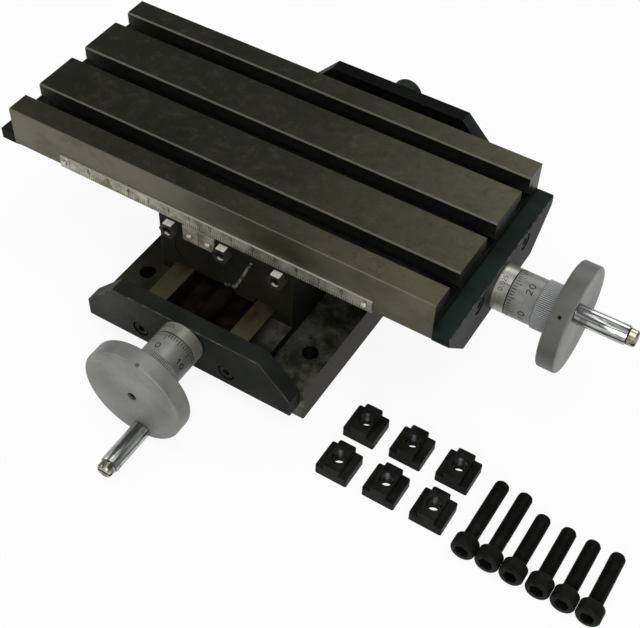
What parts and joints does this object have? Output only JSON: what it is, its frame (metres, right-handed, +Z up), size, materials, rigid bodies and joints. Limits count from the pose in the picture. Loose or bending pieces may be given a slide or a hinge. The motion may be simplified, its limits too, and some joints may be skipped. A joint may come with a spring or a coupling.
{
  "type": "cross slide table",
  "caption": "Small two-axis cross slide table with T-slots, dovetail ways, leadscrews with dials and handwheels, and loose T-nuts and clamp screws.",
  "frame": {"origin": "centre of the base casting's foot, on its underside", "axes": "+X along the table towards its handwheel, +Y away from the saddle's handwheel, +Z up"},
  "size_m": [0.3085, 0.2434, 0.073],
  "materials": {
    "ground_iron": "ground",
    "bracket_paint": "satin",
    "black_oxide": "black oxide",
    "bright_steel": "bright",
    "satin_steel": "satin",
    "screw_steel": "oiled",
    "nut_brass": "machined",
    "blasted_aluminium": "blasted",
    "chrome": "polished"
  },
  "bodies": {
    "base": {"base_casting": "ground_iron", "front_bracket": "bracket_paint", "rear_bracket": "bracket_paint", "y_bracket_screws": "black_oxide", "y_index_collar": "satin_steel", "t_nuts": "black_oxide", "clamp_screws_long": "black_oxide", "clamp_screws_short": "black_oxide"},
    "saddle": {"saddle_casting": "ground_iron", "x_gib": "ground_iron", "y_gib": "ground_iron", "x_gib_screws": "black_oxide", "y_gib_screws": "black_oxide", "x_gib_lock_nuts": "bright_steel", "y_gib_lock_nuts": "bright_steel", "x_nut": "nut_brass", "y_nut": "nut_brass", "x_nut_screws": "black_oxide", "y_nut_screws": "black_oxide", "pointer_plate": "bright_steel", "pointer_rivets": "bright_steel"},
    "table": {"table_top": "ground_iron", "right_bracket": "bracket_paint", "left_bracket": "bracket_paint", "x_bracket_screws": "black_oxide", "x_index_collar": "satin_steel", "rule": "bright_steel", "rule_rivets": "bright_steel"},
    "x_screw": {"x_leadscrew": "screw_steel", "x_handwheel": "blasted_aluminium", "x_grub_screw": "black_oxide", "x_grip_bolt": "bright_steel"},
    "y_screw": {"y_leadscrew": "screw_steel", "y_handwheel": "blasted_aluminium", "y_grub_screw": "black_oxide", "y_grip_bolt": "bright_steel"},
    "x_dial": {"x_dial": "satin_steel"},
    "y_dial": {"y_dial": "satin_steel"},
    "x_grip": {"x_grip": "chrome"},
    "y_grip": {"y_grip": "chrome"}
  },
  "joints": [
    {"name": "saddle_slide", "type": "slide", "parent": "base", "child": "saddle", "axis": [0, 1, 0], "range_m": [-0.0204, 0.0496]},
    {"name": "table_slide", "type": "slide", "parent": "saddle", "child": "table", "axis": [1, 0, 0], "range_m": [-0.0583, 0.0717]},
    {"name": "y_screw_turn", "type": "hinge", "parent": "base", "child": "y_screw", "pos_m": [-0.0025, -0.0898, 0.0243], "axis": [0, 1, 0], "range_deg": [-5875.2, 14284.8]},
    {"name": "x_screw_turn", "type": "hinge", "parent": "table", "child": "x_screw", "pos_m": [0.0973, -0.0146, 0.0467], "axis": [1, 0, 0], "range_deg": [-16790.4, 20649.6]},
    {"name": "y_dial_turn", "type": "hinge", "parent": "y_screw", "child": "y_dial", "pos_m": [-0.0025, -0.0898, 0.0243], "axis": [0, 1, 0], "continuous": true},
    {"name": "x_dial_turn", "type": "hinge", "parent": "x_screw", "child": "x_dial", "pos_m": [0.0973, -0.0146, 0.0467], "axis": [1, 0, 0], "continuous": true},
    {"name": "y_grip_turn", "type": "hinge", "parent": "y_screw", "child": "y_grip", "pos_m": [0.00066, -0.0898, 0.00638], "axis": [0, 1, 0], "continuous": true},
    {"name": "x_grip_turn", "type": "hinge", "parent": "x_screw", "child": "x_grip", "pos_m": [0.0973, -0.02491, 0.0617], "axis": [1, 0, 0], "continuous": true}
  ],
  "couplings": [
    {"joint": "y_screw_turn", "follows": "saddle_slide", "rad_per_m": 5026.5},
    {"joint": "x_screw_turn", "follows": "table_slide", "rad_per_m": 5026.5}
  ]
}
